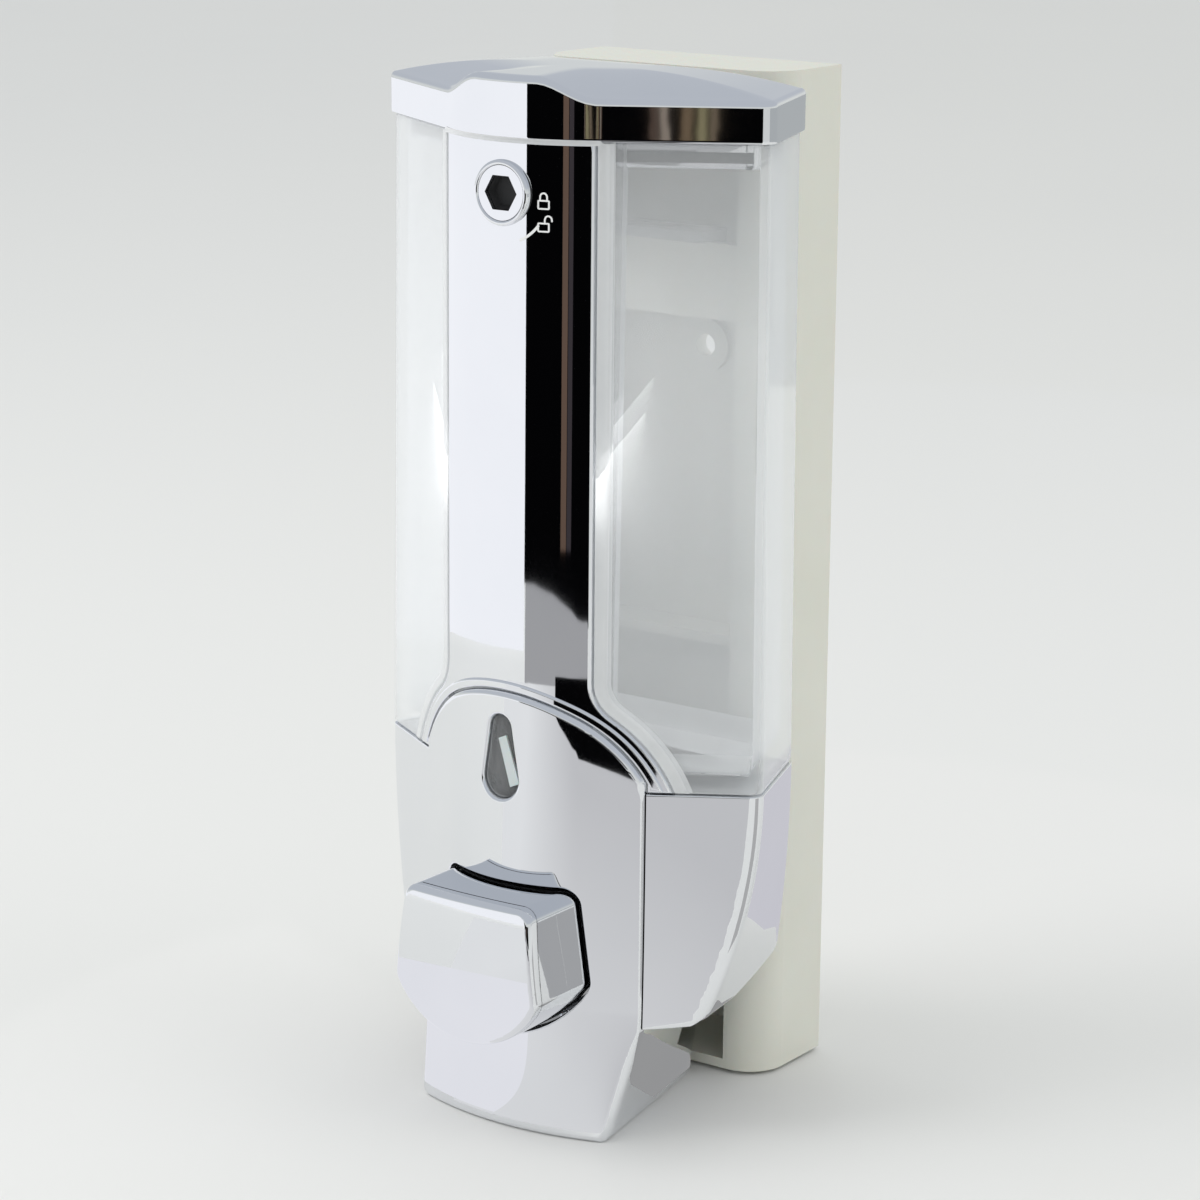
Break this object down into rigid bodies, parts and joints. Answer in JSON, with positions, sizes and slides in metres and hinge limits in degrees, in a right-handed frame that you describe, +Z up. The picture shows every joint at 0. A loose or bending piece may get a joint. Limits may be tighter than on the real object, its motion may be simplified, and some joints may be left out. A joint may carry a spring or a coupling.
{
  "type": "wall mounted soap dispenser",
  "caption": "Wall mounted liquid soap dispenser: clear tank between a chromed lid, strip, housing and push button, hooked on an ivory wall bracket.",
  "frame": {"origin": "middle of the two wall screw holes, on the plane of the wall", "axes": "+Z up, -Y out of the wall towards the user, +X to the right when facing the dispenser"},
  "size_m": [0.0888, 0.085, 0.206],
  "materials": {
    "ivory_abs": "moulded ABS, satin",
    "clear_san": "clear moulded SAN, polished",
    "chrome_abs": "bright chrome plating on ABS",
    "black_rubber": "moulded rubber",
    "nickel_zinc": "nickel plated die casting",
    "brass": "stamped, plain",
    "zinc_steel": "zinc plated steel",
    "spring_steel": "polished stainless steel",
    "grey_abs": "moulded ABS, matt",
    "white_pom": "moulded acetal",
    "natural_pp": "natural polypropylene",
    "silicone": "moulded silicone rubber"
  },
  "bodies": {
    "bracket": {"wall_bracket": "ivory_abs"},
    "dispenser": {"reservoir": "clear_san", "front_strip": "chrome_abs", "lock_ring": "chrome_abs", "front_cover": "chrome_abs", "sight_window": "clear_san", "lower_housing": "chrome_abs", "pump_chassis": "grey_abs", "chassis_screws": "zinc_steel", "reservoir_screws": "zinc_steel", "cover_screws": "zinc_steel", "return_spring": "spring_steel", "pump_cylinder": "natural_pp", "pump_gland": "white_pom", "pump_screws": "zinc_steel", "inlet_seal": "black_rubber", "inlet_seat": "white_pom", "outlet_valve": "silicone", "spout_nozzle": "grey_abs"},
    "lid": {"lid": "chrome_abs", "lid_seal": "black_rubber"},
    "lock": {"lock_barrel": "nickel_zinc", "lock_cam": "brass", "cam_screw": "zinc_steel"},
    "plunger": {"push_button": "chrome_abs", "plunger_rod": "white_pom", "piston": "white_pom", "piston_seal": "black_rubber"},
    "ball": {"inlet_ball": "spring_steel"}
  },
  "joints": [
    {"name": "hang_lift", "type": "slide", "parent": "bracket", "child": "dispenser", "axis": [0, 0, 1], "range_m": [0, 0.01]},
    {"name": "lid_lift", "type": "slide", "parent": "dispenser", "child": "lid", "axis": [0, 0, 1], "range_m": [0, 0.03]},
    {"name": "lock_turn", "type": "hinge", "parent": "dispenser", "child": "lock", "pos_m": [0, -0.07, 0.088], "axis": [0, 1, 0], "range_deg": [0, 90]},
    {"name": "button_press", "type": "slide", "parent": "dispenser", "child": "plunger", "axis": [0, 1, 0], "range_m": [0, 0.01], "stiffness_N_per_m": 350, "springref_m": -0.012, "deforming": ["return_spring"]},
    {"name": "ball_rise", "type": "slide", "parent": "dispenser", "child": "ball", "axis": [0, 0, 1], "range_m": [0, 0.0022]}
  ]
}
